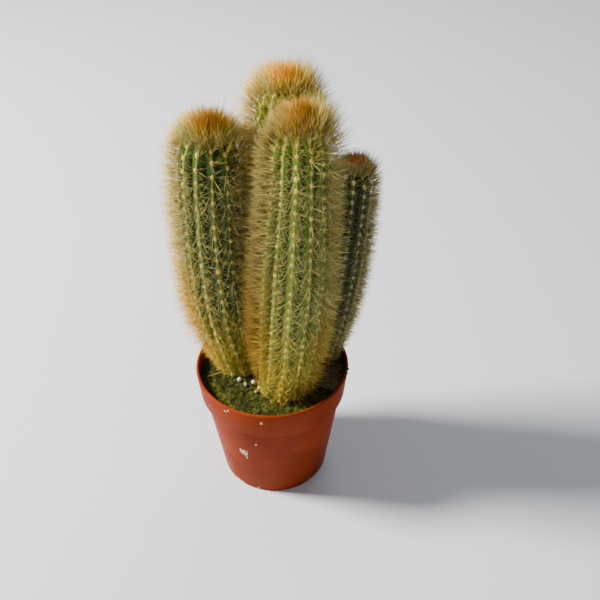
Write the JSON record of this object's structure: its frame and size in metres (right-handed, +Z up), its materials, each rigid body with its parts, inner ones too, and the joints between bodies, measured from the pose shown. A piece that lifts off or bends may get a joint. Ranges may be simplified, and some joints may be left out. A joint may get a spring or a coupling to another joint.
{
  "type": "potted pilosocereus",
  "caption": "Young columnar cactus with ribbed, golden-spined stems standing in soil and moss in a terracotta-coloured plastic nursery pot.",
  "frame": {"origin": "middle of the pot's base, on the plane the pot stands on", "axes": "+Z up along the pot's axis and the stems; -Y is the front, where the moss lies and the frontmost stem stands"},
  "size_m": [0.1099, 0.0917, 0.2433],
  "materials": {
    "pot_plastic": "terracotta-coloured injection-moulded polypropylene, satin, slightly dusty",
    "potting_soil": "damp dark peat-based potting soil",
    "moss": "low dark green moss",
    "cactus_stem": "waxy green skin with cream woolly areoles and straw to amber spines",
    "perlite": "chalky white expanded mineral grains"
  },
  "bodies": {
    "root": {"pot": "pot_plastic", "soil": "potting_soil", "moss": "moss", "stem_front": "cactus_stem", "stem_left": "cactus_stem", "stem_back": "cactus_stem", "stem_right": "cactus_stem", "perlite_1": "perlite", "perlite_2": "perlite", "perlite_3": "perlite", "perlite_4": "perlite"}
  },
  "joints": []
}
